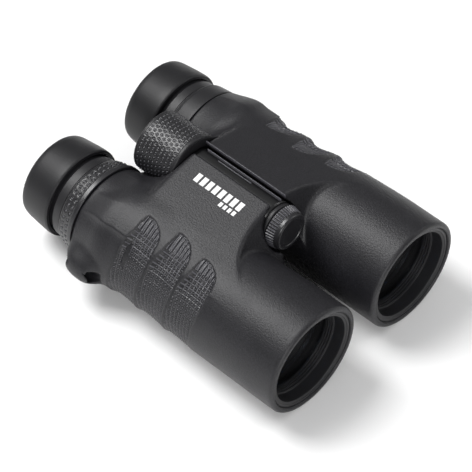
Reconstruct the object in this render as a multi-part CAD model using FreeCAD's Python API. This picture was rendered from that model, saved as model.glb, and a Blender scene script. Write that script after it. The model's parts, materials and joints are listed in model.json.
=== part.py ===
import FreeCAD, Part
import math
import os

# Roof-prism binoculars, millimetres. The instrument lies on its tubes: +Z up, +Y towards the objectives,
# +X to the user's right. The origin is at the middle of the bounding box's base.

Vector = FreeCAD.Vector

# --- driving dimensions ------------------------------------------------------------------------------
TUBE_R = 27.5                 # rubber skin of an objective tube
BARREL_X = 33.15              # half the distance between the two optical axes
BARREL_Z = TUBE_R             # height of the optical axes
HINGE_Z = BARREL_Z + 22.7     # height of the central hinge
REAR_Y = -80.15               # rim of a raised eyecup
FRONT_Y = 80.15               # front face of a tube
BORE_R = 22.0                 # mouth of an objective tube
BORE_FRONT_Y = 78.75
BORE_LENGTH = 6.0
SKIN = 1.6                    # thickness of the rubber skin
CORE_R = 26.0                 # outside of the hard housing round the objective
CORE_INNER_R = 24.5
GRIP_CORE_R = 23.4            # the same under the finger grips
GRIP_INNER_R = 22.6
FIT = 0.06                    # radial clearance of a running fit
GAP = 0.35                    # clearance between parts that pass each other

# hinge
AXLE_R = 5.0
AXLE_BORE_R = 3.4
KNUCKLE_R = 9.4
COVER_R = 10.5
HINGE_CLEAR_R = 10.9
HINGE_REAR_Y = -21.5
HINGE_FRONT_Y = 28.5
LEFT_REAR_KNUCKLE = (HINGE_REAR_Y, -9.6)
RIGHT_MID_KNUCKLE = (-9.2, 3.6)
FOCUS_WINDOW = (4.0, 15.2)
LEFT_FRONT_KNUCKLE = (15.6, 21.0)
RIGHT_FRONT_KNUCKLE = (21.4, HINGE_FRONT_Y)
SLOT_FRONT_Y = 27.0
BUSH_R = 6.4

# bridge between a tube and the hinge
PLATEAU_SLOPE = 0.22
PLATEAU_TOP_Z = BARREL_Z + 34.9
PLATEAU_OUTER_X = 38.0
PLATEAU_SHOULDER = (44.6, BARREL_Z + 23.3)
PLATEAU_EDGE = {"right": 1.8, "left": 7.0}
PLATEAU_REAR_Y = -24.0
WEB_LOW_ANGLE = 25.0          # underside of the web, degrees from straight down

# wheel
WHEEL_R = 15.6
WHEEL_RIM_R = 15.2
WHEEL_Y = (-46.75, -22.35)
WHEEL_RIM = 2.0
WHEEL_RECESS_R = 16.4
WHEEL_RECESS_Y = -22.0

# eyepiece end
NECK_R = 21.0
NECK_BORE_R = 18.0
NECK_REAR_Y = -70.5
RING_Y = (-54.95, -45.6)
CUP_LIP_Y = -62.25
CUP_R = 22.8
CUP_RIM_R = 21.3
CUP_HOLE_R = 14.5
ORING_Y = -69.6
SLEEVE_SEAT_R = 20.2          # rear part of the neck tube, under the O-ring
SEAT_FRONT_Y = -62.4
SLEEVE_SIDE = [(20.6, -77.3), (20.9, -76.0), (21.5, -70.0), (21.9, CUP_LIP_Y)]   # rubber over sleeve
EYEPIECE_R = 17.9

# focusing group and prisms
FOCUS_CELL_Y = (4.8, 12.8)
ARM_Y = (7.8, 9.8)
TRAVEL = 2.2
CAGE_Y = (-33.0, 0.5)
CAGE_R = 20.4

# tripod socket under the front cap
SOCKET_R = 6.0
SCREW_HOLE_R = 2.55           # 1/4-20 thread, cut to its core diameter
CAP_Y = (29.95, 33.45, 36.85)

# strap lug
LUG_ANGLE = math.radians(-12.0)
LUG_R = 29.0
LUG_SLOT = (5.2, 8.4)
LUG_WALL = 0.9
LUG_Y = (-40.5, -30.5)
LUG_SLOT_Y = (-60.0, -22.0)
HUMP_R = 8.6
HUMP_AT = 24.9
HUMP_ANGLE = math.radians(-13.0)


# --- helpers -----------------------------------------------------------------------------------------
def save(node, shape):
    """Writes one node's STEP file."""
    shape.exportStep("parts/" + node + ".step")


def rod(radius, y0, y1, x=BARREL_X, z=BARREL_Z):
    """A cylinder along Y."""
    return Part.makeCylinder(radius, y1 - y0, Vector(x, y0, z), Vector(0, 1, 0))


def tube(outer, inner, y0, y1, x=BARREL_X, z=BARREL_Z):
    """A plain tube along Y."""
    return rod(outer, y0, y1, x, z).cut(rod(inner, y0, y1, x, z))


def turned(points, x=BARREL_X, z=BARREL_Z):
    """A solid of revolution about an axis along Y, from (radius, y) points."""
    corners = [Vector(x + r, y, z) for r, y in points]
    face = Part.Face(Part.makePolygon(corners + corners[:1]))
    return face.revolve(Vector(x, 0, z), Vector(0, 1, 0), 360)


def prism_xz(points, y0, y1):
    """A polygon in the XZ plane carried along Y."""
    corners = [Vector(x, y0, z) for x, z in points]
    return Part.Face(Part.makePolygon(corners + corners[:1])).extrude(Vector(0, y1 - y0, 0))


def prism_yz(points, x0, x1):
    """A polygon in the YZ plane carried along X."""
    corners = [Vector(x0, y, z) for y, z in points]
    return Part.Face(Part.makePolygon(corners + corners[:1])).extrude(Vector(x1 - x0, 0, 0))


def lens(radius, y_rear, y_front, sag_rear, sag_front):
    """A lens whose two faces are spherical caps; a sag bulges its face outwards when positive."""
    def face_points(y, sag, sign):
        middle = Vector(BARREL_X, y + sign * sag, BARREL_Z)
        edge = Vector(BARREL_X + radius, y, BARREL_Z)
        return middle, edge
    rear_mid, rear_edge = face_points(y_rear, sag_rear, -1)
    front_mid, front_edge = face_points(y_front, sag_front, 1)
    edges = [cap_arc(rear_mid, rear_edge), Part.LineSegment(rear_edge, front_edge).toShape(),
             cap_arc(front_mid, front_edge), Part.LineSegment(front_mid, rear_mid).toShape()]
    wire = Part.Wire(Part.__sortEdges__(edges))
    return Part.Face(wire).revolve(Vector(BARREL_X, 0, BARREL_Z), Vector(0, 1, 0), 360)


def cap_arc(middle, edge):
    """The arc of a lens face from its middle to its edge, square to the optical axis at the middle."""
    half = edge.x - middle.x
    sag = edge.y - middle.y
    radius = (half * half + sag * sag) / (2 * sag)
    turn = math.asin(half / abs(radius)) / 2
    sign = 1 if sag > 0 else -1
    between = Vector(middle.x + abs(radius) * math.sin(turn),
                     middle.y + sign * abs(radius) * (1 - math.cos(turn)), middle.z)
    return Part.Arc(middle, between, edge).toShape()


def sector(inner, outer, start, end, y0, y1):
    """A piece of a tube about the hinge axis, between two angles in degrees from straight up, + to the right."""
    ring = tube(outer, inner, y0, y1, 0, HINGE_Z)
    reach = outer * 3
    steps = 6
    corners = [(0, HINGE_Z)]
    for i in range(steps + 1):
        a = math.radians(start + (end - start) * i / steps)
        corners.append((reach * math.sin(a), HINGE_Z + reach * math.cos(a)))
    return ring.common(prism_xz(corners, y0, y1))


def mirrored(shape):
    """The same piece for the other tube."""
    return shape.mirror(Vector(0, 0, 0), Vector(1, 0, 0))


def save_pair(name, shape):
    """One piece for the right tube and its mirror image for the left tube."""
    save("right_" + name, shape)
    save("left_" + name, mirrored(shape))


def polar(radius, angle):
    """A point at a radius and an angle round the right tube's axis, as x and z."""
    return BARREL_X + radius * math.cos(angle), BARREL_Z + radius * math.sin(angle)


# --- solids that the skin and the housing share --------------------------------------------------------
def plateau_z(x):
    """Height of the sloping top of the bridge."""
    return PLATEAU_TOP_Z - PLATEAU_SLOPE * x


def bridge(edge_x, inset):
    """The wedge-shaped block from a tube to the hinge; inset shrinks it on its outer sides."""
    low = math.radians(WEB_LOW_ANGLE) + inset / 18.0
    section = [(edge_x, plateau_z(edge_x) - inset),
               (PLATEAU_OUTER_X, plateau_z(PLATEAU_OUTER_X) - inset),
               (PLATEAU_SHOULDER[0] - inset, PLATEAU_SHOULDER[1] - inset),
               (BARREL_X, BARREL_Z),
               (18.0 * math.sin(low), HINGE_Z - 18.0 * math.cos(low)),
               (edge_x, HINGE_Z)]
    front = 22.0 - 2.4 * inset
    rear = PLATEAU_REAR_Y + inset
    start = Vector(edge_x, front, 0)
    middle = Vector(24.0, front + 6.0, 0)
    end = Vector(PLATEAU_SHOULDER[0] + 0.5, front + 20.0, 0)
    corners = [end, Vector(end.x, rear, 0), Vector(edge_x, rear, 0), start]
    edges = [Part.Arc(start, middle, end).toShape()]
    edges += [Part.LineSegment(a, b).toShape() for a, b in zip(corners, corners[1:])]
    plan = Part.Face(Part.Wire(edges)).extrude(Vector(0, 0, 2 * HINGE_Z))
    return prism_xz(section, rear - 1.0, end.y + 1.0).common(plan)


def slot_outline(width, height, y0, y1):
    """A stadium-shaped bar along Y at the strap lug; width is radial, height is round the tube."""
    shift = (height - width) / 2
    bars = []
    for side in (-1, 1):
        bars.append(rod(width / 2, y0, y1, BARREL_X + LUG_R, BARREL_Z + side * shift))
    box = Part.makeBox(width, y1 - y0, 2 * shift, Vector(BARREL_X + LUG_R - width / 2, y0, BARREL_Z - shift))
    bar = bars[0].fuse(bars[1]).fuse(box).removeSplitter()
    bar.rotate(Vector(BARREL_X, 0, BARREL_Z), Vector(0, 1, 0), -math.degrees(LUG_ANGLE))
    return bar


def lug_block():
    """The hard loop round the strap's way through, with the root that joins it to the tube."""
    loop = slot_outline(LUG_SLOT[0] + 2 * LUG_WALL, LUG_SLOT[1] + 2 * LUG_WALL, LUG_Y[0], LUG_Y[1])
    root = Part.makeBox(5.0, LUG_Y[1] - LUG_Y[0], 7.0, Vector(BARREL_X + 22.0, LUG_Y[0], BARREL_Z - 3.5))
    root.rotate(Vector(BARREL_X, 0, BARREL_Z), Vector(0, 1, 0), -math.degrees(LUG_ANGLE))
    return loop.fuse(root)


def strap_way():
    """The strap's way through the lug and the skin."""
    return slot_outline(LUG_SLOT[0], LUG_SLOT[1], LUG_SLOT_Y[0], LUG_SLOT_Y[1])


def arm_way():
    """The window that a focusing arm passes through, with the arm's travel."""
    return arm_bar(4.5, 30.0, ARM_Y[0] - TRAVEL - GAP, ARM_Y[1] + TRAVEL + GAP, 3.4)


def hump():
    """The swelling of the skin over the strap lug."""
    x, z = polar(HUMP_AT, HUMP_ANGLE)
    return turned([(0, -45.0), (3.6, -45.0), (7.4, -42.0), (HUMP_R, -38.5), (HUMP_R, -35.5), (7.6, -31.0),
                   (2.4, -24.5), (0, -24.5)], x, z)


def rest_pad():
    """The fuller underside near the eyepieces, level with the tubes, on which the instrument lies."""
    return turned([(0, -33.0), (26.0, -33.0), (TUBE_R, -29.0), (TUBE_R, -18.0), (26.2, -12.0), (0, -12.0)]).common(
        prism_xz([(BARREL_X, BARREL_Z + 2), (BARREL_X - 17, 0 - 1), (BARREL_X + 17, 0 - 1)], -34, -11))


def skin_outside(edge_x):
    """Everything inside the outer surface of the rubber skin, right side."""
    body = turned([(0, -45.3), (23.9, -45.3), (25.0, -36.0), (26.2, -26.0), (26.4, 28.0), (27.2, 38.0),
                   (TUBE_R, 48.0), (TUBE_R, 78.9), (27.1, 79.8), (26.2, FRONT_Y), (0, FRONT_Y)])
    return body.fuse([bridge(edge_x, 0.0), hump(), rest_pad()])


def core_outside(edge_x, knuckles):
    """Everything inside the outer surface of the hard housing, right side."""
    body = turned([(0, -45.3), (22.2, -45.3), (22.4, -38.0), (GRIP_CORE_R, -30.0), (GRIP_CORE_R, 32.0),
                   (CORE_R, 46.0), (CORE_R, 79.4), (0, 79.4)])
    web = bridge(edge_x + 1.0, SKIN).cut(rod(HINGE_CLEAR_R, -60, 60, 0, HINGE_Z))
    parts = [web, lug_block()]
    for y0, y1 in knuckles:
        parts.append(rod(KNUCKLE_R, y0, y1, 0, HINGE_Z))
        parts.append(sector(KNUCKLE_R - 1, 18.0, 98, 146, y0, y1))
    return body.fuse(parts)


def wheel_space():
    """The room that the focusing wheel needs in both halves."""
    return rod(WHEEL_RECESS_R, -60, WHEEL_RECESS_Y, 0, HINGE_Z)


# --- one half of the body ------------------------------------------------------------------------------
def housing(side, knuckles):
    """The hard housing: tube, web, strap lug and hinge knuckles in one moulding."""
    shape = core_outside(PLATEAU_EDGE[side], knuckles)
    inside = turned([(0, -46), (NECK_R, -46), (NECK_R, -38.0), (20.6, -38.0), (20.6, -10.0), (22.4, -4.0),
                     (22.4, 2.0), (GRIP_INNER_R, 2.0), (GRIP_INNER_R, 42.0), (CORE_INNER_R, 46.0),
                     (CORE_INNER_R, 81), (0, 81)])
    window = rod(KNUCKLE_R + 0.2, FOCUS_WINDOW[0], FOCUS_WINDOW[1], 0, HINGE_Z)
    bore_r = AXLE_R if side == "right" else BUSH_R
    shape = shape.cut([inside, window, arm_way(), wheel_space(), rod(bore_r, -30, 21.2, 0, HINGE_Z), strap_way()])
    if side == "right":
        guard = sector(KNUCKLE_R + 0.2, COVER_R, 120, 186, HINGE_REAR_Y, SLOT_FRONT_Y)
        shape = shape.cut(rod(SOCKET_R, 21.2, 30, 0, HINGE_Z)).fuse(guard.cut(arm_way()))
    return shape


def cover_shell():
    """The curved hinge cover with its two raised steps, as built on the right; the left half uses its mirror."""
    shell = sector(KNUCKLE_R + 0.2, COVER_R - 0.6, -14, 62, HINGE_REAR_Y, SLOT_FRONT_Y)
    step_low = sector(COVER_R - 0.6, COVER_R - 0.1, 12, 62, -10.0, 10.0)
    step_high = sector(COVER_R - 0.6, COVER_R + 0.2, 20, 62, -18.0, 26.0)
    return shell.fuse([step_low, step_high]).removeSplitter()


def armour(side, core):
    """The rubber skin round the housing."""
    shape = skin_outside(PLATEAU_EDGE[side])
    clear = rod(HINGE_CLEAR_R, -60, 60, 0, HINGE_Z)
    mouth = rod(24.6, 79.0, 81)
    inside = rod(NECK_R + 0.5, -60, -40)
    return shape.cut([core, clear, mouth, inside, strap_way(), arm_way(), wheel_space()])


def arm_bar(near, far, y0, y1, half_width):
    """A flat bar from the hinge axis towards the right tube's axis."""
    bar = Part.makeBox(far - near, y1 - y0, 2 * half_width, Vector(near, y0, -half_width))
    bar.rotate(Vector(0, 0, 0), Vector(0, 1, 0), math.degrees(math.atan2(HINGE_Z - BARREL_Z, BARREL_X)))
    bar.translate(Vector(0, 0, HINGE_Z))
    return bar


def body_halves():
    """Housings, skins, hinge cover, front rings, neck tubes and the collar of the left eyepiece."""
    right_core = core_outside(PLATEAU_EDGE["right"], [RIGHT_MID_KNUCKLE, RIGHT_FRONT_KNUCKLE])
    save("right_housing", housing("right", [RIGHT_MID_KNUCKLE, RIGHT_FRONT_KNUCKLE]))
    save("right_armour", armour("right", right_core))
    left_knuckles = [LEFT_REAR_KNUCKLE, LEFT_FRONT_KNUCKLE]
    cover = cover_shell()
    left_core = core_outside(PLATEAU_EDGE["left"], left_knuckles)
    save("left_housing", mirrored(housing("left", left_knuckles).cut(cover)))
    save("left_armour", mirrored(armour("left", left_core)))
    save("hinge_cover", mirrored(cover))
    front = turned([(24.4, 68.0), (24.4, 79.5), (22.7, 79.5), (BORE_R, BORE_FRONT_Y),
                    (BORE_R, BORE_FRONT_Y - BORE_LENGTH), (21.2, BORE_FRONT_Y - BORE_LENGTH), (21.2, 68.0)])
    save_pair("front_ring", front)
    neck = turned([(NECK_BORE_R, NECK_REAR_Y), (SLEEVE_SEAT_R, NECK_REAR_Y), (SLEEVE_SEAT_R, SEAT_FRONT_Y),
                   (NECK_R, SEAT_FRONT_Y), (NECK_R, -38.0), (NECK_BORE_R, -38.0)])
    save_pair("neck_tube", neck)
    collar = turned([(NECK_R, RING_Y[0]), (22.1, RING_Y[0]), (23.1, -46.2), (23.1, RING_Y[1]), (NECK_R, RING_Y[1])])
    save("left_collar", mirrored(collar))


# --- optics -----------------------------------------------------------------------------------------
def objective_group():
    """The fixed front lens pair in its cell, with the threaded ring that holds it."""
    cell = turned([(20.0, 48.0), (24.4, 48.0), (24.4, 64.0), (21.0, 64.0), (21.0, 50.5), (20.0, 50.5)])
    save_pair("objective_cell", cell)
    save_pair("crown_lens", lens(20.95, 56.0, 59.0, 1.6, 2.2))
    save_pair("flint_lens", lens(20.95, 51.0, 55.9, 0.8, -1.6))
    retainer = turned([(19.6, 59.5), (20.95, 59.5), (20.95, 62.0), (20.2, 62.0)])
    save_pair("lens_retainer", retainer)


def focusing_group():
    """The inner lens that focuses, its sliding cell and the arm that reaches into the hinge."""
    arm = arm_bar(4.0, 19.4, ARM_Y[0], ARM_Y[1], 3.0).cut(rod(6.7, 0, 20, 0, HINGE_Z))
    cell = tube(GRIP_INNER_R - FIT, 18.0, FOCUS_CELL_Y[0], FOCUS_CELL_Y[1])
    save_pair("focus_arm", arm.cut(rod(GRIP_INNER_R - FIT, 0, 20)))
    save_pair("focus_cell", cell)
    save_pair("focus_lens", lens(18.0, 6.5, 10.5, -1.2, 1.0))


def prism_group():
    """The cage with the roof prism and the half penta prism."""
    frame = rod(CAGE_R, CAGE_Y[0], CAGE_Y[1])
    hollow = Part.makeBox(24.0, 28.5, 32.0, Vector(BARREL_X - 12, CAGE_Y[0] + 2.5, BARREL_Z - 16))
    passage = rod(11.0, CAGE_Y[0] - 1, CAGE_Y[1] + 1)
    save_pair("prism_cage", frame.cut([hollow, passage]))
    rear, low, high = CAGE_Y[0] + 2.5, BARREL_Z - 14.0, BARREL_Z + 14.0
    half = prism_yz([(rear + 15.6, low), (rear + 28.4, low + 3.0), (rear + 28.4, high), (rear + 24.0, high)],
                    BARREL_X - 11.9, BARREL_X + 11.9)
    save_pair("half_penta_prism", half)
    roof = prism_yz([(rear + 0.1, low), (rear + 14.8, low), (rear + 22.8, high - 1.5), (rear + 10.0, high)],
                    BARREL_X - 11.9, BARREL_X + 11.9)
    for side in (-1, 1):
        ridge = prism_xz([(BARREL_X + side * 13, high - 9), (BARREL_X + side * 13, high + 3),
                          (BARREL_X, high + 3)], rear - 1, rear + 28)
        roof = roof.cut(ridge)
    save_pair("roof_prism", roof)


def eyepiece_group():
    """The eyepiece cell, which slides in the neck tube, with its two lenses."""
    cell = turned([(13.2, -69.5), (EYEPIECE_R, -69.5), (EYEPIECE_R, -48.0), (13.2, -48.0), (13.2, -57.0),
                   (15.0, -57.0), (15.0, -68.0), (13.2, -69.0)])
    save_pair("eyepiece_cell", cell)
    save_pair("eye_lens", lens(14.9, -67.6, -61.5, 0.5, 2.0))
    save_pair("field_lens", lens(13.2, -55.0, -50.5, 1.2, 1.2))


def eyecup_group():
    """The twist-up eyecup: rubber cup, its hard sleeve and the O-ring that brakes it."""
    groove = (ORING_Y - 0.65, ORING_Y + 0.65)
    save_pair("eyecup_rubber", cup_rubber())
    seat = SLEEVE_SEAT_R + FIT
    sleeve = turned([(CUP_HOLE_R + 0.6, -77.3)] + SLEEVE_SIDE +
                    [(NECK_R + FIT, CUP_LIP_Y), (NECK_R + FIT, -68.6), (seat, -68.6), (seat, groove[1]),
                     (20.85, groove[1]), (20.85, groove[0]), (seat, groove[0]), (seat, -76.7),
                     (CUP_HOLE_R + 0.6, -76.7)])
    save_pair("eyecup_sleeve", sleeve)
    save_pair("eyecup_oring", tube(20.8, SLEEVE_SEAT_R + 0.04, groove[0] + 0.1, groove[1] - 0.1))


def cup_rubber():
    """The soft cup over the sleeve, rounded at the rim and at the lip."""
    outline = [(CUP_HOLE_R, -77.0), (CUP_HOLE_R + 0.6, -78.6), (CUP_HOLE_R + 2.4, REAR_Y), (19.0, REAR_Y),
               (20.5, -79.7), (CUP_RIM_R, -78.4), (21.9, -74.0), (22.4, -69.0), (CUP_R, -65.5), (CUP_R, -63.4),
               (22.5, CUP_LIP_Y)]
    inner = SLEEVE_SIDE[::-1] + [(CUP_HOLE_R + 0.6, -77.3), (CUP_HOLE_R + 0.6, -77.0)]
    return turned(outline + inner)


def diopter():
    """The ring that sets the right eyepiece."""
    ring = turned([(NECK_R + FIT, RING_Y[0]), (22.2, RING_Y[0]), (22.8, -54.0), (23.4, -48.2), (23.9, -47.8),
                   (23.9, RING_Y[1]), (NECK_R + FIT, RING_Y[1])])
    save("diopter_ring", ring)


# --- centre column ------------------------------------------------------------------------------------
def hinge_column():
    """Axle, bushes, tripod socket and its cap."""
    axle = rod(AXLE_R, -40.0, 21.0, 0, HINGE_Z)
    slot = Part.makeBox(2 * AXLE_R + 2, 2 * TRAVEL + 2.4, 2.2, Vector(-AXLE_R - 1, 11.6 - TRAVEL - 1.2, HINGE_Z - 1.1))
    save("hinge_axle", axle.cut([rod(AXLE_BORE_R, -41, 22, 0, HINGE_Z), slot]))
    for name, (y0, y1) in (("rear", LEFT_REAR_KNUCKLE), ("front", LEFT_FRONT_KNUCKLE)):
        save("hinge_bush_" + name, tube(BUSH_R, AXLE_R + 0.04, y0, y1, 0, HINGE_Z))
    socket = rod(SOCKET_R, 21.2, HINGE_FRONT_Y, 0, HINGE_Z).cut(rod(SCREW_HOLE_R, 22.0, 30, 0, HINGE_Z))
    save("tripod_socket", socket)
    cap = turned([(0, 22.6), (2.1, 22.6), (SCREW_HOLE_R - 0.05, 23.2), (SCREW_HOLE_R - 0.05, 29.3), (9.9, 29.3),
                  (10.6, CAP_Y[0]), (9.6, CAP_Y[1]), (9.2, 35.8), (8.3, CAP_Y[2]), (6.9, CAP_Y[2]), (6.5, 36.3),
                  (0, 36.3)], 0, HINGE_Z)
    save("tripod_cap", cap)
    save("cap_washer", tube(5.2, SCREW_HOLE_R + 0.02, HINGE_FRONT_Y + 0.02, 29.28, 0, HINGE_Z))


def focus_drive():
    """Wheel, grip, screw, and the rod, pin and collar that move along the axle."""
    rear, front = WHEEL_Y
    hub = turned([(AXLE_R + FIT, -40.4), (AXLE_R + FIT, front), (WHEEL_RIM_R, front),
                  (WHEEL_RIM_R, front - WHEEL_RIM), (13.6, front - WHEEL_RIM),
                  (13.6, rear + WHEEL_RIM), (WHEEL_RIM_R, rear + WHEEL_RIM), (WHEEL_RIM_R, rear + 0.6),
                  (14.6, rear), (11.0, rear), (10.4, rear + 1.2), (0, rear + 1.2), (0, -44.2),
                  (2.0, -44.2), (2.0, -40.4)], 0, HINGE_Z)
    save("focus_wheel", hub)
    save("wheel_grip", tube(WHEEL_R, 13.6, rear + WHEEL_RIM, front - WHEEL_RIM, 0, HINGE_Z))
    save("focus_screw", rod(2.0, -44.2, -2.0, 0, HINGE_Z))
    save("focus_rod", tube(AXLE_BORE_R - FIT, 2.05, -16.0, 6.0, 0, HINGE_Z).fuse(
        rod(AXLE_BORE_R - FIT, 6.0, 14.0, 0, HINGE_Z)).cut(
            Part.makeCylinder(0.9, 20, Vector(-10, 11.6, HINGE_Z), Vector(1, 0, 0))))
    save("focus_pin", Part.makeCylinder(0.9, 16.0, Vector(-8.0, 11.6, HINGE_Z), Vector(1, 0, 0)))
    collar = turned([(AXLE_R + FIT, 6.4), (8.6, 6.4), (8.6, ARM_Y[0] - 0.1), (6.5, ARM_Y[0] - 0.1),
                     (6.5, ARM_Y[1] + 0.1), (8.6, ARM_Y[1] + 0.1), (8.6, 12.8), (AXLE_R + FIT, 12.8)], 0, HINGE_Z)
    save("focus_collar", collar.cut(Part.makeCylinder(0.9, 20, Vector(-10, 11.6, HINGE_Z), Vector(1, 0, 0))))


def main():
    os.makedirs("parts", exist_ok=True)
    body_halves()
    objective_group()
    focusing_group()
    prism_group()
    eyepiece_group()
    eyecup_group()
    diopter()
    hinge_column()
    focus_drive()


main()
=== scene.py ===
"""Roof-prism binoculars: rubber skins, grips, eyepieces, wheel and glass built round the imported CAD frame."""

import json
import math

import bmesh
import bpy
import numpy as np
from mathutils import Matrix, Vector


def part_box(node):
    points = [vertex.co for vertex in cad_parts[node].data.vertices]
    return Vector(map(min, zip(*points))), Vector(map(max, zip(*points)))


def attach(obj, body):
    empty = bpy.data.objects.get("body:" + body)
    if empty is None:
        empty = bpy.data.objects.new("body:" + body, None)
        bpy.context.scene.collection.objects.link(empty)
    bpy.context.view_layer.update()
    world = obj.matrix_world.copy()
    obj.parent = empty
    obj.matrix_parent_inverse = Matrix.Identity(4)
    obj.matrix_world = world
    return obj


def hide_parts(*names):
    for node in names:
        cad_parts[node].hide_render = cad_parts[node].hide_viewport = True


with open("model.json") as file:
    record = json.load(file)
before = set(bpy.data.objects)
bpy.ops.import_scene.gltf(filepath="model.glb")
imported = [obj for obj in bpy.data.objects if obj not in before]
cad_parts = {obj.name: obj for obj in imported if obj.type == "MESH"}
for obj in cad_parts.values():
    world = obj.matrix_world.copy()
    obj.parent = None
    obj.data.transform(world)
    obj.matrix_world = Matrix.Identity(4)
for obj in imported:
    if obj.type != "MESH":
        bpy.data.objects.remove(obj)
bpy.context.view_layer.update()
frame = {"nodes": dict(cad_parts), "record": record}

MM = 0.001

# --- sizes, in millimetres, read from the frame -------------------------------------------------------
def node_box(node):
    """Lowest and highest corner of a CAD node, in millimetres."""
    low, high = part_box(node)
    return np.array(low) / MM, np.array(high) / MM


ring_low, ring_high = node_box("right_front_ring")
wheel_low, wheel_high = node_box("wheel_grip")
BARREL_X = (ring_low[0] + ring_high[0]) / 2
BARREL_Z = (ring_low[2] + ring_high[2]) / 2
HINGE_Z = (wheel_low[2] + wheel_high[2]) / 2
WHEEL_R = (wheel_high[0] - wheel_low[0]) / 2
FRONT_Y = node_box("right_armour")[1][1]
REAR_Y = node_box("right_eyecup_rubber")[0][1]
SKIN_REAR_Y = -45.4
MOUTH_BORE_R = 22.0
NECK_BORE_R = 18.0

# bridge between tube and hinge: a plane that slopes outwards
PLATEAU_TOP_Z = BARREL_Z + 34.9
PLATEAU_SLOPE = 0.22
SHOULDER = ((38.0, 54.04), (45.9, 49.6))
WEB = ((BARREL_X, BARREL_Z), (7.6, 33.9))
BRIDGE_END = math.radians(52.0)
HINGE_CLEAR_R = 10.9
RECESS_R = 16.4
RECESS_Y = -22.0
# inner edge x, the front edge's y at the middle, and how fast it runs forward with x cubed
BRIDGE = {"right": (1.8, 25.9, 0.00026), "left": (7.0, 24.5, 0.00026)}

# strap lug
HUMP_RHO = 24.9
HUMP_ANGLE = math.radians(-13.5)
HUMP_R = 8.55
HUMP_Y = -34.2
HUMP_REAR = 12.0
HUMP_FRONT = 9.8
SLOT_RHO = 29.0
SLOT_ANGLE = math.radians(-12.0)
SLOT_SIZE = (5.0, 8.2)
SLOT_Y = (-60.0, -24.0)

# finger grips: each lies between two ridges and ends in an arch near the top
RIDGES = (-17.7, -0.6, 17.0, 33.6)
GRIP_TOPS = (80.0, 84.5, 77.5)
GRIP_LOW = -62.0
LATTICE_TOP = 63.5
LATTICE_Y = 2.06
LATTICE_TURN = 5.0
GRIP_SINK = 0.65
GRIP_R = 26.0                 # radius at which the pattern's steps round the tube are measured
GRIP_WIDTH = 17.5             # sets how many columns of points a grip has
GRIP_FLOOR = 0.72             # how far the pattern's hollows lie under the skin's own surface
GRIP_RISE = 0.76              # from the hollows to the tops of the pattern
GRIP_UNDERSIDE = 0.95
LINE_HALF_WIDTH = 0.3
PIP_R = 0.46
LEVEL = 0.16                  # relief value of a plain surface, between a hollow's 0 and a pip's 1; there the grip material's painted shade and painted highlight leave the colour as it is
NET_STEP = 0.78
PAD_STEP = 0.235

# centre column and dioptre ring
WHEEL_PIPS = 40
WHEEL_PIP_ROWS = 9
DIOPTER_PIPS = 45
CAP_RIBS = 44
CAP_REAR_Y = 29.32
NOSE_Y = (27.2, 29.2)
COVER_R = (9.65, 10.0)
COVER_TURN = (-40.0, 62.0)
COVER_Y = (-21.3, 26.8)
# each rail: x, z and y from and to, and its bevel
COVER_RAILS = (((-7.25, -6.85), (60.0, 61.5), (-21.8, 26.4), 0.12),
               ((-4.65, -4.25), (58.6, 60.75), (-18.3, 26.2), 0.12),
               ((-2.85, -2.5), (58.9, 60.45), (-10.3, 9.8), 0.1))

# plain marks, each row: how many, x from and to, first y, pitch, length
MARK_ROWS = ((8, 8.6, 13.0, -11.0, 3.62, 2.5),
             (4, 13.9, 16.1, 7.0, 2.6, 1.7))
MARK_LIFTS = (-0.05, 0.035)

# steps of the numeric work
SLOPE_NUDGE = 0.05
SETTLING_PASSES = 4
HALVINGS = 18

# camera, in metres and degrees
CAMERA_PLACE = (0.57284, 0.53236, 0.91202)
CAMERA_BACK = (0.48415, 0.44710, 0.75213)
CAMERA_ROLL = 0.40
CAMERA_LENS = 198.56


# --- small maths --------------------------------------------------------------------------------------
def smoothstep(a, b, x):
    """0 before a, 1 after b, and a smooth rise between; a may be the larger, for a fall."""
    t = np.clip((x - a) / (b - a), 0.0, 1.0)
    return t * t * (3.0 - 2.0 * t)


def smooth_min(a, b, k):
    """The lesser of two fields, blended over k: a rounded union."""
    h = np.clip(0.5 + 0.5 * (b - a) / k, 0.0, 1.0)
    return b + (a - b) * h - k * h * (1.0 - h)


def smooth_max(a, b, k):
    """The greater of two fields, blended over k: a rounded intersection."""
    return -smooth_min(-a, -b, k)


def curve(x, knots):
    """A smooth curve through (x, value) knots: cubic pieces with shared slopes."""
    xs, values = np.array(knots, float).T
    slopes = np.gradient(values, xs)
    x = np.clip(x, xs[0], xs[-1])
    i = np.clip(np.searchsorted(xs, x) - 1, 0, len(xs) - 2)
    h = xs[i + 1] - xs[i]
    t = (x - xs[i]) / h
    return ((2 * t**3 - 3 * t**2 + 1) * values[i] + (t**3 - 2 * t**2 + t) * h * slopes[i]
            + (3 * t**2 - 2 * t**3) * values[i + 1] + (t**3 - t**2) * h * slopes[i + 1])


def polar(x, z, centre_x, centre_z):
    """Radius and angle in degrees round an axis along Y; 0 points outwards, 90 up."""
    return np.hypot(x - centre_x, z - centre_z), np.degrees(np.arctan2(z - centre_z, x - centre_x))


# --- the skin as a distance field, right side ---------------------------------------------------------
TOP_PROFILE = ((-46, 22.9), (-42, 23.4), (-36, 24.6), (-31.5, 25.7), (-28.5, 25.9), (-24, 25.2), (-18, 25.15),
               (0, 25.6), (17, 26.3), (33, 26.5), (42, 26.9), (58, 27.45), (81, 27.5))
SIDE_PROFILE = ((-46, 24.2), (-42, 24.9), (-36, 26.0), (-30, 27.0), (-24, 27.3), (-16, 26.9), (-4, 26.9),
                (13, 27.2), (29, 27.5), (36, 27.45), (50, 27.4), (81, 27.5))
CAVITY_PROFILE = ((-46, 21.3), (-38, 21.8), (-26, 22.5), (34, 22.6), (47, 24.6), (81, 24.6))
GROOVE_TOP = 1.5
GROOVE_SIDE = 0.65


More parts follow.
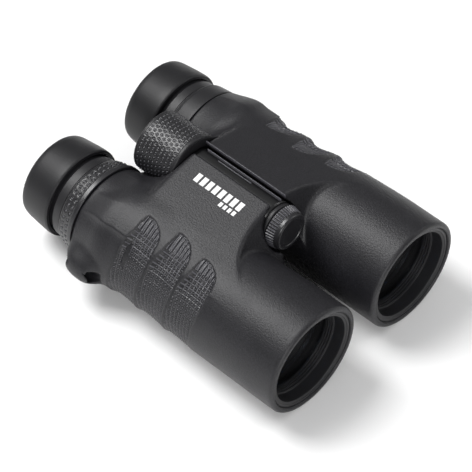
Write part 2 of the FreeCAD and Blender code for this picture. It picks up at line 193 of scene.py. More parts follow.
def top_share(angle):
    """1 where a tube follows its upper profile, 0 where it follows the lower outer one."""
    return smoothstep(-28, 34, angle) + smoothstep(-105, -165, angle)


def ridge_shift(angle):
    """The ridges between the grips lean rearwards on the way down."""
    return -4.2 * smoothstep(40, -35, angle)


def groove_depth(y, angle):
    """How far the finger grooves sink below the tube's profile; steep at the rear, gentle at the front."""
    depth = np.zeros_like(y)
    size = GROOVE_SIDE + (GROOVE_TOP - GROOVE_SIDE) * smoothstep(-28, 30, angle)
    size = size * smoothstep(-112, -80, angle)
    for i in range(3):
        rear, front = grip_edges(i, angle)
        share = np.clip((y - rear) / np.maximum(front - rear, 0.5), 0.0, 1.0)
        fade = smoothstep(GRIP_TOPS[i] + 1.0, GRIP_TOPS[i] - 22.0, angle)
        full = 0.72 if i == 2 else 1.0
        depth = np.maximum(depth, full * size * fade * np.sin(np.pi * share**0.72) ** 1.25)
    return depth


def grip_edges(i, angle):
    """Rear and front edge of grip i at an angle round the tube."""
    shift = ridge_shift(angle)
    lift = 2.6 * smoothstep(38, 64, angle) + 0.8 * smoothstep(64, 80, angle)
    rear = RIDGES[i] + 0.35 + shift + lift
    t = np.clip((angle - 48.0) / (GRIP_TOPS[i] - 48.0), 0.0, 1.0)
    arch_rear = RIDGES[i] + 0.35 + 2.6 + 0.8
    full_front = RIDGES[i + 1] - 0.35 + shift
    front = np.where(angle > 48.0, arch_rear + (full_front - arch_rear) * np.sqrt(1.0 - t**3), full_front)
    return rear, np.maximum(front, rear)


def grip_mask(y, angle):
    """1 inside a grip's outline, 0 outside, with a soft edge."""
    mask = np.zeros_like(y)
    for i in range(3):
        rear, front = grip_edges(i, angle)
        inside = np.minimum(y - rear, front - y)
        inside = np.minimum(inside, np.minimum(GRIP_TOPS[i] - angle, angle - GRIP_LOW) * 0.45)
        mask = np.maximum(mask, smoothstep(-0.25, 0.75, inside))
    return mask


def tube_radius(y, angle):
    """Radius of a tube's skin before grooves, between its side and top profiles."""
    share = np.clip(top_share(angle), 0.0, 1.0)
    radius = curve(y, SIDE_PROFILE) * (1.0 - share) + curve(y, TOP_PROFILE) * share
    return np.minimum(radius, 27.46)


def bridge_field(x, y, z, edge_x, front_y, front_bend):
    """Distance to the wedge between tube and hinge."""
    top = (z - PLATEAU_TOP_Z + PLATEAU_SLOPE * x) / math.hypot(1.0, PLATEAU_SLOPE)
    depth = np.maximum(-top, 0.0)
    front = (y - front_y - front_bend * x**3 - 0.55 * depth) * 0.85
    rear_edge = np.maximum(-20.6 - 0.04 * np.maximum(x - 24.0, 0.0) ** 2, -32.5)
    rear = (rear_edge - 1.1 * depth - y) * 0.7
    (ax, az), (bx, bz) = SHOULDER
    length = math.hypot(bx - ax, bz - az)
    shoulder = ((x - ax) * (az - bz) + (z - az) * (bx - ax)) / length
    (cx, cz), (dx, dz) = WEB
    length = math.hypot(dx - cx, dz - cz)
    under = ((x - cx) * (cz - dz) + (z - cz) * (dx - cx)) / length
    length = math.hypot(edge_x - dx, HINGE_Z - dz)
    inner = ((x - dx) * (dz - HINGE_Z) + (z - dz) * (edge_x - dx)) / length
    field = smooth_max(top, shoulder, 2.5)
    field = smooth_max(field, front, 1.3)
    field = smooth_max(field, rear, 1.4 + 6.0 * smoothstep(24, 38, x))
    outer = (x - BARREL_X) * math.sin(BRIDGE_END) - (z - BARREL_Z) * math.cos(BRIDGE_END)
    for side in (under, inner, outer, edge_x - x):
        field = smooth_max(field, side, 0.7)
    return field


def strap_slot(x, y, z):
    """Distance to the stadium-shaped way of the strap."""
    radial = (x - BARREL_X) * math.cos(SLOT_ANGLE) + (z - BARREL_Z) * math.sin(SLOT_ANGLE) - SLOT_RHO
    around = (z - BARREL_Z) * math.cos(SLOT_ANGLE) - (x - BARREL_X) * math.sin(SLOT_ANGLE)
    width, height = SLOT_SIZE
    bar = np.hypot(radial, np.maximum(np.abs(around) - (height - width) / 2, 0.0)) - width / 2
    return np.maximum(bar, np.maximum(SLOT_Y[0] - y, y - SLOT_Y[1]))


def hump_field(x, y, z):
    """The swelling over the strap lug: an egg along Y, longer towards the rear."""
    cx = BARREL_X + HUMP_RHO * math.cos(HUMP_ANGLE)
    cz = BARREL_Z + HUMP_RHO * math.sin(HUMP_ANGLE)
    along = np.maximum((HUMP_Y - y) / HUMP_REAR, (y - HUMP_Y) / HUMP_FRONT)
    across = ((x - cx) ** 2 + (z - cz) ** 2) / HUMP_R**2
    return (across + along**2.5 - 1.0) * HUMP_R / 2.0


def skin_field(points, side, sunk=True):
    """Negative inside the rubber skin; sunk makes room for the grips."""
    x, y, z = points.T
    rho, angle = polar(x, z, BARREL_X, BARREL_Z)
    tube = rho - tube_radius(y, angle)
    bridge = bridge_field(x, y, z, *BRIDGE[side])
    blend = 1.6 + 1.9 * smoothstep(10, -10, y) + 2.5 * smoothstep(24, 38, x) * smoothstep(0, -20, y)
    field = smooth_min(tube, bridge, blend)
    field = smooth_min(field, hump_field(x, y, z), 4.5)
    field = field + groove_depth(y, angle)
    if sunk:
        field = field + GRIP_SINK * grip_mask(y, angle)
    field = smooth_max(field, y - FRONT_Y, 1.8)
    field = smooth_max(field, SKIN_REAR_Y - y, 0.6)
    field = smooth_max(field, curve(y, CAVITY_PROFILE) - rho, 0.5)
    hinge_rho = np.hypot(x, z - HINGE_Z)
    field = smooth_max(field, HINGE_CLEAR_R - hinge_rho, 0.5)
    field = smooth_max(field, -np.maximum(hinge_rho - RECESS_R, y - RECESS_Y), 0.8)
    return smooth_max(field, -strap_slot(x, y, z), 0.8)


def surface_net(field, low, high, step):
    """Points and quads of a field's zero surface: one point per crossed cell, then moved onto the surface."""
    axes = [np.arange(a, b + step, step) for a, b in zip(low, high)]
    shape = tuple(len(a) for a in axes)
    corners = np.stack(np.meshgrid(*axes, indexing="ij"), -1).reshape(-1, 3)
    value = field(corners).reshape(shape)
    inside = value < 0
    cells = tuple(n - 1 for n in shape)
    total = np.zeros(cells + (3,))
    count = np.zeros(cells)
    for axis in range(3):
        others = [a for a in range(3) if a != axis]
        near = np.take(value, range(shape[axis] - 1), axis)
        far = np.take(value, range(1, shape[axis]), axis)
        crossed = (near < 0) != (far < 0)
        share = np.where(crossed, near / np.where(crossed, near - far, 1.0), 0.0)
        for i in (0, 1):
            for j in (0, 1):
                window = [slice(None)] * 3
                window[others[0]] = slice(i, i + cells[others[0]])
                window[others[1]] = slice(j, j + cells[others[1]])
                hit = crossed[tuple(window)]
                total[..., axis] += np.where(hit, share[tuple(window)], 0.0)
                total[..., others[0]] += hit * i
                total[..., others[1]] += hit * j
                count += hit
    used = count > 0
    number = np.full(cells, -1)
    number[used] = np.arange(used.sum())
    base = np.stack(np.nonzero(used), -1)
    points = np.array([a[0] for a in axes]) + (base + total[used] / count[used][:, None]) * step
    quads = []
    for axis in range(3):
        u, v = (axis + 1) % 3, (axis + 2) % 3
        near = np.take(inside, range(shape[axis] - 1), axis)
        far = np.take(inside, range(1, shape[axis]), axis)
        place = np.stack(np.nonzero(near != far), -1)
        keep = (place[:, u] > 0) & (place[:, v] > 0) & (place[:, u] < cells[u]) & (place[:, v] < cells[v])
        place = place[keep]
        ring = []
        for du, dv in ((-1, -1), (0, -1), (0, 0), (-1, 0)):
            cell = place.copy()
            cell[:, u] += du
            cell[:, v] += dv
            ring.append(number[tuple(cell.T)])
        quad = np.stack(ring, -1)
        flip = ~near[tuple(place.T)]
        quad[flip] = quad[flip][:, ::-1]
        quads.append(quad)
    for _ in range(SETTLING_PASSES):
        here = field(points)
        slope = np.empty_like(points)
        for axis in range(3):
            nudge = np.zeros(3)
            nudge[axis] = SLOPE_NUDGE
            slope[:, axis] = (field(points + nudge) - field(points - nudge)) / (2 * SLOPE_NUDGE)
        move = -here[:, None] * slope / np.maximum((slope**2).sum(1), 0.2)[:, None]
        points = points + np.clip(move, -0.3 * step, 0.3 * step)
    return points, np.concatenate(quads)


# --- meshes -------------------------------------------------------------------------------------------
def make_mesh(name, points, faces, mirrored=False):
    """An object with smooth faces from points in millimetres; mirrored puts it on the other tube."""
    points = np.array(points, float)
    faces = np.array(faces)
    if mirrored:
        points = points * (-1.0, 1.0, 1.0)
        faces = faces[:, ::-1]
    mesh = bpy.data.meshes.new(name)
    mesh.vertices.add(len(points))
    mesh.vertices.foreach_set("co", (points * MM).ravel())
    mesh.loops.add(faces.size)
    mesh.loops.foreach_set("vertex_index", faces.ravel().astype(np.int32))
    mesh.polygons.add(len(faces))
    mesh.polygons.foreach_set("loop_start", np.arange(0, faces.size, faces.shape[1], dtype=np.int32))
    mesh.update(calc_edges=True)
    mesh.validate()
    mesh.shade_smooth()
    piece = bpy.data.objects.new(name, mesh)
    bpy.context.scene.collection.objects.link(piece)
    return piece


def mark_relief(piece, values):
    """Stores the height of a moulded pattern, 0 to 1, on the piece's points; the grip material paints shade in
    its hollows and highlights on its tops from it.
    """
    attribute = piece.data.attributes.new("relief", "FLOAT", "POINT")
    attribute.data.foreach_set("value", np.asarray(values, np.float32))


def clean(piece, gap=0.002):
    """Joins doubled points and makes the faces look outwards."""
    work = bmesh.new()
    work.from_mesh(piece.data)
    bmesh.ops.remove_doubles(work, verts=work.verts, dist=gap * MM)
    bmesh.ops.dissolve_degenerate(work, edges=work.edges, dist=gap * MM)
    bmesh.ops.recalc_face_normals(work, faces=work.faces)
    work.to_mesh(piece.data)
    work.free()
    piece.data.shade_smooth()
    return piece


def rounded(outline, steps=6):
    """A closed outline of (r, y, rounding) corners as points, each corner cut by a smooth curve."""
    corners = np.array([(c[0], c[1]) for c in outline], float)
    rounding = [c[2] if len(c) > 2 else 0.0 for c in outline]
    points = []
    for i, corner in enumerate(corners):
        before = corners[i - 1] - corner
        after = corners[(i + 1) % len(corners)] - corner
        size = min(rounding[i], np.linalg.norm(before) * 0.49, np.linalg.norm(after) * 0.49)
        if size <= 0:
            points.append(corner)
            continue
        start = corner + before / np.linalg.norm(before) * size
        end = corner + after / np.linalg.norm(after) * size
        for t in np.linspace(0, 1, steps + 1):
            points.append((1 - t) ** 2 * start + 2 * t * (1 - t) * corner + t**2 * end)
    return np.array(points)


def split_long(points, longest):
    """Adds points to a closed outline so that no edge is longer than longest."""
    out = []
    for a, b in zip(points, np.roll(points, -1, axis=0)):
        n = max(1, int(np.ceil(np.linalg.norm(b - a) / longest)))
        out.extend(a + (b - a) * k / n for k in range(n))
    return np.array(out)


def lathe(name, outline, segments=144, x=BARREL_X, z=BARREL_Z, relief=None, mirrored=False, longest=4.0):
    """A closed outline turned about an axis along Y.

    relief(r, y, angle) adds to the radius, and its height is stored on the points for the material, which
    paints shade in the hollows and highlights on the tops from it."""
    ring = split_long(rounded(outline), longest)
    angle = np.arange(segments) * 2 * np.pi / segments
    r = np.repeat(ring[None, :, 0], segments, 0)
    y = np.repeat(ring[None, :, 1], segments, 0)
    a = np.repeat(angle[:, None], len(ring), 1)
    height = relief(r, y, a) if relief is not None else np.zeros_like(r)
    r = r + height
    points = np.stack([x + r * np.cos(a), y, z + r * np.sin(a)], -1).reshape(-1, 3)
    n = len(ring)
    i, j = np.meshgrid(np.arange(segments), np.arange(n), indexing="ij")
    i2, j2 = (i + 1) % segments, (j + 1) % n
    faces = np.stack([i * n + j, i2 * n + j, i2 * n + j2, i * n + j2], -1).reshape(-1, 4)
    piece = make_mesh(name, points, faces, mirrored)
    # stored height for the grip material's painted shade in hollows and painted highlight on tops
    rise = height.clip(min=0) / max(height.max(), 0.01)
    fall = height.clip(max=0) / min(height.min(), -0.01)
    mark_relief(piece, (LEVEL + (1 - LEVEL) * rise - LEVEL * fall).ravel())
    return clean(piece)


# --- materials ----------------------------------------------------------------------------------------
def node_material(name, color, roughness, grain=0.0, grain_size=0.4, speckle=0.0, metallic=0.0,
                  specular=0.5, ior=1.5, relief=(1.0, 1.0)):
    """A moulded or turned surface: fine grain in the bump, slight mottling of colour and gloss.

    relief scales the colour, first in the hollows and then on the tops of a moulded pattern: painted shade in
    the hollows and a painted highlight on the tops."""
    material = bpy.data.materials.new(name)
    material.use_nodes = True
    nodes, links = material.node_tree.nodes, material.node_tree.links
    shader = nodes["Principled BSDF"]
    shader.inputs["Roughness"].default_value = roughness
    shader.inputs["Metallic"].default_value = metallic
    shader.inputs["Specular IOR Level"].default_value = specular
    shader.inputs["IOR"].default_value = ior
    place = nodes.new("ShaderNodeTexCoord")

    def noise(size_mm, detail):
        texture = nodes.new("ShaderNodeTexNoise")
        texture.inputs["Scale"].default_value = 1.0 / (size_mm * MM)
        texture.inputs["Detail"].default_value = detail
        links.new(place.outputs["Object"], texture.inputs["Vector"])
        return texture

    fine = noise(grain_size, 3.0)
    broad = noise(18.0, 2.0)
    tint = nodes.new("ShaderNodeValToRGB")
    low, high = tint.color_ramp.elements
    low.position, high.position = 0.3, 0.75
    low.color = (*[c * (1.0 - speckle) for c in color], 1.0)
    high.color = (*[c * (1.0 + speckle) for c in color], 1.0)
    links.new(fine.outputs["Fac"], tint.inputs["Fac"])
    mottle = nodes.new("ShaderNodeMix")
    mottle.data_type = "RGBA"
    mottle.blend_type = "MULTIPLY"
    mottle.inputs["Factor"].default_value = 0.25
    links.new(tint.outputs["Color"], mottle.inputs["A"])
    links.new(broad.outputs["Fac"], mottle.inputs["B"])
    base = mottle.outputs["Result"]
    # painted shade and highlight: the colour is scaled by the stored relief, darker in the hollows and brighter
    # on the tops
    if relief != (1.0, 1.0):
        height = nodes.new("ShaderNodeAttribute")
        height.attribute_name = "relief"
        painted_shade_and_highlight = nodes.new("ShaderNodeMapRange")
        painted_shade_and_highlight.inputs["To Min"].default_value, painted_shade_and_highlight.inputs["To Max"].default_value = relief
        links.new(height.outputs["Fac"], painted_shade_and_highlight.inputs["Value"])
        product = nodes.new("ShaderNodeVectorMath")
        product.operation = "SCALE"
        links.new(base, product.inputs[0])
        links.new(painted_shade_and_highlight.outputs["Result"], product.inputs["Scale"])
        base = product.outputs["Vector"]
    links.new(base, shader.inputs["Base Color"])
    gloss = nodes.new("ShaderNodeMapRange")
    gloss.inputs["To Min"].default_value = roughness - 0.05
    gloss.inputs["To Max"].default_value = roughness + 0.06
    links.new(broad.outputs["Fac"], gloss.inputs["Value"])
    links.new(gloss.outputs["Result"], shader.inputs["Roughness"])
    if grain > 0:
        bump = nodes.new("ShaderNodeBump")
        bump.inputs["Strength"].default_value = grain
        bump.inputs["Distance"].default_value = 0.2 * MM
        links.new(fine.outputs["Fac"], bump.inputs["Height"])
        links.new(bump.outputs["Normal"], shader.inputs["Normal"])
    return material


def glass_material(name, tint):
    """Coated optical glass: clear, with a faint coloured reflection and the lightest dust."""
    material = node_material(name, tint, 0.06, grain_size=2.5, speckle=0.02, specular=0.6, ior=1.52)
    shader = material.node_tree.nodes["Principled BSDF"]
    shader.inputs["Transmission Weight"].default_value = 0.92
    shader.inputs["Coat Weight"].default_value = 0.5
    shader.inputs["Coat Roughness"].default_value = 0.03
    shader.inputs["Coat Tint"].default_value = (0.55, 0.75, 1.0, 1.0)
    return material


# the CAD's own plain materials make way for the ones below
for plain in list(bpy.data.materials):
    bpy.data.materials.remove(plain)

skin_rubber = node_material("skin_rubber", (0.0115, 0.0112, 0.0140), 0.47, grain=0.8, grain_size=0.7,
                            speckle=0.5, specular=0.46)
# grip_rubber paints light: colour times 0.2 in the hollows is painted shade, times 5.2 on the tops is painted
# highlight
grip_rubber = node_material("grip_rubber", (0.0150, 0.0148, 0.0172), 0.31, grain=0.3, grain_size=0.4,
                            speckle=0.12, specular=0.6, relief=(0.2, 5.2))
cup_rubber = node_material("cup_rubber", (0.0105, 0.0104, 0.0120), 0.45, grain=0.3, grain_size=0.6,
                           speckle=0.1, specular=0.36)
housing_plastic = node_material("housing_plastic", (0.0130, 0.0128, 0.0148), 0.45, grain=0.2, grain_size=0.4,
                                speckle=0.08, specular=0.42)
cell_aluminium = node_material("cell_aluminium", (0.012, 0.012, 0.013), 0.42, grain=0.2, speckle=0.06,
                               specular=0.35)
arm_steel = node_material("arm_steel", (0.45, 0.45, 0.46), 0.32, metallic=1.0, speckle=0.05)
socket_brass = node_material("socket_brass", (0.60, 0.48, 0.25), 0.33, metallic=1.0, speckle=0.06)
oring_rubber = node_material("oring_rubber", (0.02, 0.02, 0.02), 0.6, grain=0.1, speckle=0.05)
panel_print = node_material("panel_print", (0.85, 0.85, 0.85), 0.5, grain=0.1, grain_size=0.3, speckle=0.03)
optical_glass = glass_material("optical_glass", (0.86, 0.90, 0.94))
MATERIALS = {m.name: m for m in (skin_rubber, grip_rubber, cup_rubber, housing_plastic, cell_aluminium,
                                 arm_steel, socket_brass, oring_rubber, panel_print, optical_glass)}


def finish_piece(piece, slot, body, *nodes):
    """Gives a piece its material and its body, and hides the CAD nodes that it stands for."""
    piece.data.materials.clear()
    piece.data.materials.append(MATERIALS[slot])
    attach(piece, body)
    if nodes:
        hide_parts(*nodes)
    return piece


def dress_cad_nodes():
    """Every CAD node takes the material of its slot in the record."""
    for part in frame["record"]["subparts"]:
        node = frame["nodes"][part["node"]]
        node.data.materials.clear()
        node.data.materials.append(MATERIALS[part["material_slot"]])


# --- skins and grips ----------------------------------------------------------------------------------
def build_skin(side):
    """The rubber skin of one half, with its bridge, strap lug and finger grooves."""
    low = np.array([BRIDGE[side][0] - 1.5, SKIN_REAR_Y - 4.0, -1.5])
    high = np.array([66.8, FRONT_Y + 1.5, PLATEAU_TOP_Z + 1.0])
    points, quads = surface_net(lambda p: skin_field(p, side), low, high, NET_STEP)
    piece = make_mesh(side + "_skin", points, quads, side == "left")
    return finish_piece(piece, "skin_rubber", side + "_barrel", side + "_armour")


def surface_radius(y, angle, side):
    """Distance from the tube's axis to the unsunk skin, found by halving."""
    turn = np.radians(angle)
    inner = np.full(y.shape, 21.0)
    outer = np.full(y.shape, 34.0)
    for _ in range(HALVINGS):
        middle = (inner + outer) / 2
        points = np.stack([BARREL_X + middle * np.cos(turn), y, BARREL_Z + middle * np.sin(turn)], -1)
        outside = skin_field(points.reshape(-1, 3), side, sunk=False).reshape(y.shape) > 0
        outer = np.where(outside, middle, outer)
        inner = np.where(outside, inner, middle)
    return (inner + outer) / 2


def bumps(x, pitch, half_width):
    """1 on lines a pitch apart, falling to 0 at half_width from them."""
    away = np.abs((x / pitch + 0.5) % 1.0 - 0.5) * pitch
    return smoothstep(half_width, half_width * 0.35, away)


def grip_pattern(y, angle, rear):
    """Height of the raised lattice, bars, ribs and pips of a grip, 0 to 1."""
    around = np.radians(angle) * GRIP_R
    pitch_around = math.radians(LATTICE_TURN) * GRIP_R
    lines = np.maximum(bumps(y, LATTICE_Y, LINE_HALF_WIDTH), bumps(around, pitch_around, LINE_HALF_WIDTH))
    dy = ((y / LATTICE_Y) % 1.0 - 0.5) * LATTICE_Y
    da = ((around / pitch_around) % 1.0 - 0.5) * pitch_around
    pips = smoothstep(PIP_R, 0.2, np.hypot(dy, da))
    line_height = 0.45 + 0.55 * smoothstep(30, 48, angle)
    lattice = np.maximum(lines * line_height, 0.8 * pips)
    ladder = bumps(around, pitch_around, 0.5) * smoothstep(0.15, 0.5, y - rear)
    column = smoothstep(2.5, 2.2, y - rear) * smoothstep(34, 40, angle)
    lattice = lattice * (1 - column) + ladder * column
    ribs = np.maximum(bumps(y, LATTICE_Y / 2, 0.36), 0.5 * bumps(y - LATTICE_Y / 4, LATTICE_Y, 0.5))
    upper = smoothstep(LATTICE_TOP - 0.4, LATTICE_TOP + 0.4, angle)
    return lattice * (1 - upper) + ribs * upper


def on_tube(radius, y, angle):
    """Points at a radius and an angle in degrees round the tube's axis."""
    turn = np.radians(angle)
    points = np.stack([BARREL_X + radius * np.cos(turn), y, BARREL_Z + radius * np.sin(turn)], -1)
    return points.reshape(-1, 3)


def build_grip(side, i):
    """One finger grip: a closed sheet that follows the groove, with raised lattice, bars and ribs."""
    top = GRIP_TOPS[i] - 0.4
    rows = int((top - GRIP_LOW) * math.radians(1) * GRIP_R / PAD_STEP)
    angle = np.linspace(GRIP_LOW, top, rows)[:, None]
    rear, front = grip_edges(i, angle)
    columns = int(GRIP_WIDTH / PAD_STEP)
    share = np.linspace(0, 1, columns)[None, :]
    y = rear + (front - rear) * share
    a = np.repeat(angle, columns, 1)
    rho = surface_radius(y, a, side)
    inside = np.minimum(y - rear, front - y)
    inside = np.minimum(inside, np.minimum(a - GRIP_LOW, top - a) * 0.45)
    edge = smoothstep(0.0, 0.55, inside)
    pattern = grip_pattern(y, a, rear)
    height = -GRIP_FLOOR + GRIP_RISE * pattern
    rho_top = rho + height * edge - GRIP_FLOOR * (1 - edge)
    underside = np.min(rho, axis=1, keepdims=True) - GRIP_UNDERSIDE
    upper = on_tube(rho_top, y, a)
    left = on_tube(underside, y[:, :1], angle)
    right = on_tube(underside, y[:, -1:], angle)
    m, n = np.meshgrid(np.arange(rows - 1), np.arange(columns - 1), indexing="ij")
    corner = m * columns + n
    top_faces = np.stack([corner, corner + columns, corner + columns + 1, corner + 1], -1).reshape(-1, 4)
    name = side + "_grip_" + str(i + 1)
    piece = close_sheet(name, upper, left, right, top_faces, columns, side == "left")
    # the pattern's height on the upper points drives the material's painted shade in the cells and painted
    # highlight on the lattice, bars and ribs
    values = np.zeros(len(piece.data.vertices))
    values[:rows * columns] = (pattern * edge).ravel()
    mark_relief(piece, values)
    return piece


def close_sheet(name, upper, left, right, top_faces, columns, mirrored):
    """Closes an upper grid with an underside of one strip between its left and right edges."""
    count = len(upper)
    rows = len(left)
    edge_rows = np.arange(rows)
    points = np.concatenate([upper, left, right])
    a, b = count + edge_rows[:-1], count + edge_rows[1:]
    c, d = a + rows, b + rows
    t0, t1 = edge_rows[:-1] * columns, edge_rows[1:] * columns
    u0, u1 = t0 + columns - 1, t1 + columns - 1
    strips = [np.stack(ring, -1) for ring in ((a, c, d, b), (t0, a, b, t1), (c, u0, u1, d))]
    piece = make_mesh(name, points, np.concatenate([top_faces, *strips]), mirrored)
    work = bmesh.new()
    work.from_mesh(piece.data)
    bmesh.ops.holes_fill(work, edges=[e for e in work.edges if e.is_boundary], sides=0)
    bmesh.ops.recalc_face_normals(work, faces=work.faces)
    work.to_mesh(piece.data)
    work.free()
    piece.data.shade_smooth()
    return piece


# --- ends of the tubes --------------------------------------------------------------------------------
def build_front_ring(side):
    """The hard ring in a tube's mouth: stepped face, chamfer and fine inner rings against stray light."""
    low, high = node_box(side + "_front_ring")
    outer = (high[0] - low[0]) / 2
    bore = MOUTH_BORE_R
    inner = bore - 0.8
    face = high[1]
    outline = [(outer, low[1]), (outer, face - 0.05, 0.35), (23.3, face - 0.05, 0.25),
               (22.9, face - 0.45, 0.2), (bore, face - 0.75, 0.25), (bore, face - 6.6, 0.2)]
    y = face - 6.9
    while y > low[1] + 1.2:
        outline += [(inner, y, 0.1), (inner, y - 0.45, 0.1),
                    (inner + 0.5, y - 0.7, 0.1), (inner + 0.5, y - 1.0, 0.1)]
        y -= 1.25
    outline += [(inner, low[1])]
    piece = lathe(side + "_mouth_ring", outline, mirrored=side == "left", longest=1.5)
    return finish_piece(piece, "housing_plastic", side + "_barrel", side + "_front_ring")


def build_neck(side):
    """The neck tube, with a step under the eyecup and a fine line near the ring."""
    low, high = node_box(side + "_neck_tube")
    bore = NECK_BORE_R
    outline = [(bore, low[1]), (20.15, low[1], 0.3), (20.15, -60.5), (21.0, -60.2, 0.2), (21.0, -56.1, 0.1),
               (20.75, -55.9, 0.05), (20.75, -55.6, 0.05), (21.0, -55.4, 0.1),
               (21.0, high[1]), (bore, high[1])]
    piece = lathe(side + "_neck", outline, mirrored=side == "left", longest=2.0)
    return finish_piece(piece, "housing_plastic", side + "_barrel", side + "_neck_tube")


def build_eyecup(side):
    """The soft cup with its rounded rim and lip."""
    outline = [(14.9, -77.1, 0.3), (15.6, -78.6, 0.5), (17.2, REAR_Y, 0.9), (20.9, REAR_Y, 1.9),
               (21.7, -77.6, 1.2), (22.3, -72.0, 2.0), (22.8, -66.5, 1.5), (22.85, -63.2, 0.9),
               (22.45, -62.27, 0.3), (21.95, -62.27, 0.2), (21.55, -70.0, 0.6), (20.95, -76.0, 0.6),
               (20.65, -77.25, 0.2), (15.2, -77.28)]
    piece = lathe(side + "_eyecup", outline, mirrored=side == "left", longest=1.5)
    return finish_piece(piece, "cup_rubber", side + "_eyecup", side + "_eyecup_rubber")


def pip_relief(first_row, row_pitch, rows, per_row, radius, height, stagger, moat):
    """Raised round pips in rows round a ring, each in a shallow moat."""
    def relief(r, y, angle):
        row = np.round((y - first_row) / row_pitch)
        dy = y - first_row - row * row_pitch
        turn = angle / (2 * np.pi) * per_row + (0.5 * (row % 2) if stagger else 0.0)
        da = ((turn + 0.5) % 1.0 - 0.5) * 2 * np.pi * r / per_row
        away = np.hypot(dy, da)
        pips = height * smoothstep(radius, radius * 0.35, away)
        ditch = -moat * smoothstep(radius * 1.75, radius * 1.3, away)
        ditch = ditch * smoothstep(radius * 0.75, radius, away)
        live = (row >= 0) & (row < rows)
        return np.where(live, pips + ditch, 0.0)
    return relief


def build_diopter_ring():
    """The ring of the right eyepiece: two rows of pips between a groove and a smooth lip."""
    low, high = node_box("diopter_ring")
    rear, front = low[1], high[1]
    pips = pip_relief(rear + 2.65, 2.7, 2, DIOPTER_PIPS, 0.62, 0.34, False, 0.22)

    def relief(r, y, angle):
        return np.where((r > 22.0) & (y < front - 2.0), pips(r, y, angle), 0.0)

    outline = [(21.08, rear), (22.1, rear, 0.3), (22.35, rear + 0.75, 0.1), (22.15, rear + 0.85, 0.08),
               (22.15, rear + 1.1, 0.08), (22.5, rear + 1.2, 0.1), (23.25, front - 2.75, 0.2),
               (23.35, front - 2.6, 0.1), (23.9, front - 2.3, 0.25), (23.9, front - 0.1, 0.35),
               (21.08, front - 0.1)]
    longest = 0.22
    piece = lathe("diopter_grip", outline, DIOPTER_PIPS * 14, relief=relief, longest=longest)
    return finish_piece(piece, "grip_rubber", "diopter_ring", "diopter_ring")


def build_left_collar():
    """The smooth collar in the diopter ring's place on the left."""
    low, high = node_box("left_collar")
    rear, front = low[1], high[1]
    outline = [(20.95, rear), (22.0, rear, 0.35), (22.35, rear + 1.1, 0.15), (22.15, rear + 1.25, 0.08),
               (22.15, rear + 1.5, 0.08), (22.45, rear + 1.65, 0.15), (23.1, front - 1.0, 0.4),
               (23.1, front - 0.05, 0.3), (20.95, front - 0.05)]
    piece = lathe("left_eyepiece_collar", outline, mirrored=True, longest=1.5)
    return finish_piece(piece, "housing_plastic", "left_barrel", "left_collar")


# --- centre column ------------------------------------------------------------------------------------
def build_wheel():
    """The focusing wheel: hard core with rims and a knurled rubber tyre with staggered pips."""
    low, high = node_box("focus_wheel")
    rear, front = low[1], high[1]
    rim = (high[0] - low[0]) / 2
    outline = [(0.0, rear + 1.6), (8.6, rear + 1.6, 0.4), (9.2, rear + 0.3, 0.4), (13.6, rear + 0.1, 0.6),
               (rim, rear + 0.7, 0.5), (rim, rear + 2.05, 0.2), (13.9, rear + 2.1), (13.9, front - 2.1),
               (rim, front - 2.05, 0.2), (rim, front - 0.5, 0.45), (14.2, front - 0.05, 0.3),
               (5.2, front - 0.05), (5.2, front - 4.0), (0.0, front - 4.0)]
    core = lathe("wheel_core", outline, 120, 0.0, HINGE_Z)
    finish_piece(core, "housing_plastic", "focus_wheel", "focus_wheel")
    low, high = node_box("wheel_grip")
    first = low[1] + 1.15
    pitch = (high[1] - low[1] - 2.3) / (WHEEL_PIP_ROWS - 1)
    pips = pip_relief(first, pitch, WHEEL_PIP_ROWS, WHEEL_PIPS, 0.52, 0.3, True, 0.2)

    def relief(r, y, angle):
        return np.where(r > WHEEL_R - 0.8, pips(r, y, angle), 0.0)

    tyre_r = WHEEL_R - 0.36
    seat_r = 13.65
    outline = [(seat_r, low[1]), (tyre_r, low[1] + 0.02, 0.25), (tyre_r, high[1] - 0.02, 0.25),
               (seat_r, high[1])]
    longest = 0.25
    tyre = lathe("wheel_tyre", outline, WHEEL_PIPS * 12, 0.0, HINGE_Z, relief, longest=longest)
    return finish_piece(tyre, "grip_rubber", "focus_wheel", "wheel_grip")


def build_cap():
    """The cap over the tripod thread: ribbed band, bevel and a sunk disc."""
    low, high = node_box("tripod_cap")
    back, front = CAP_REAR_Y, high[1]

    def relief(r, y, angle):
        wave = smoothstep(-0.2, 0.7, np.cos(angle * CAP_RIBS))
        band = smoothstep(back + 0.4, back + 0.9, y) * smoothstep(front - 2.4, front - 2.9, y)
        return np.where(r > 8.0, 0.5 * wave * band, 0.0)

    outline = [(0.0, low[1] + 0.1), (2.0, low[1] + 0.1, 0.3), (2.48, low[1] + 0.7, 0.2), (2.48, back),
               (9.3, back, 0.3), (10.0, back + 0.6, 0.3), (9.25, front - 2.6, 0.3), (9.3, front - 0.8, 0.5),
               (8.4, front - 0.02, 0.5), (7.0, front - 0.02, 0.2), (6.7, front - 0.5, 0.2),
               (0.0, front - 0.5)]
    piece = lathe("thread_cap", outline, CAP_RIBS * 12, 0.0, HINGE_Z, relief, longest=0.8)
    return finish_piece(piece, "grip_rubber", "tripod_cap", "tripod_cap")


def build_nose():
    """The round front end of the hinge, which closes the recess between the two panels."""
    rear, front = NOSE_Y
    outline = [(5.2, rear), (9.6, rear, 0.3), (9.9, rear + 0.4, 0.3), (9.9, front - 0.3, 0.4),
               (9.3, front, 0.2), (5.2, front)]
    piece = lathe("hinge_nose", outline, 96, 0.0, HINGE_Z)
    return finish_piece(piece, "housing_plastic", "right_barrel")


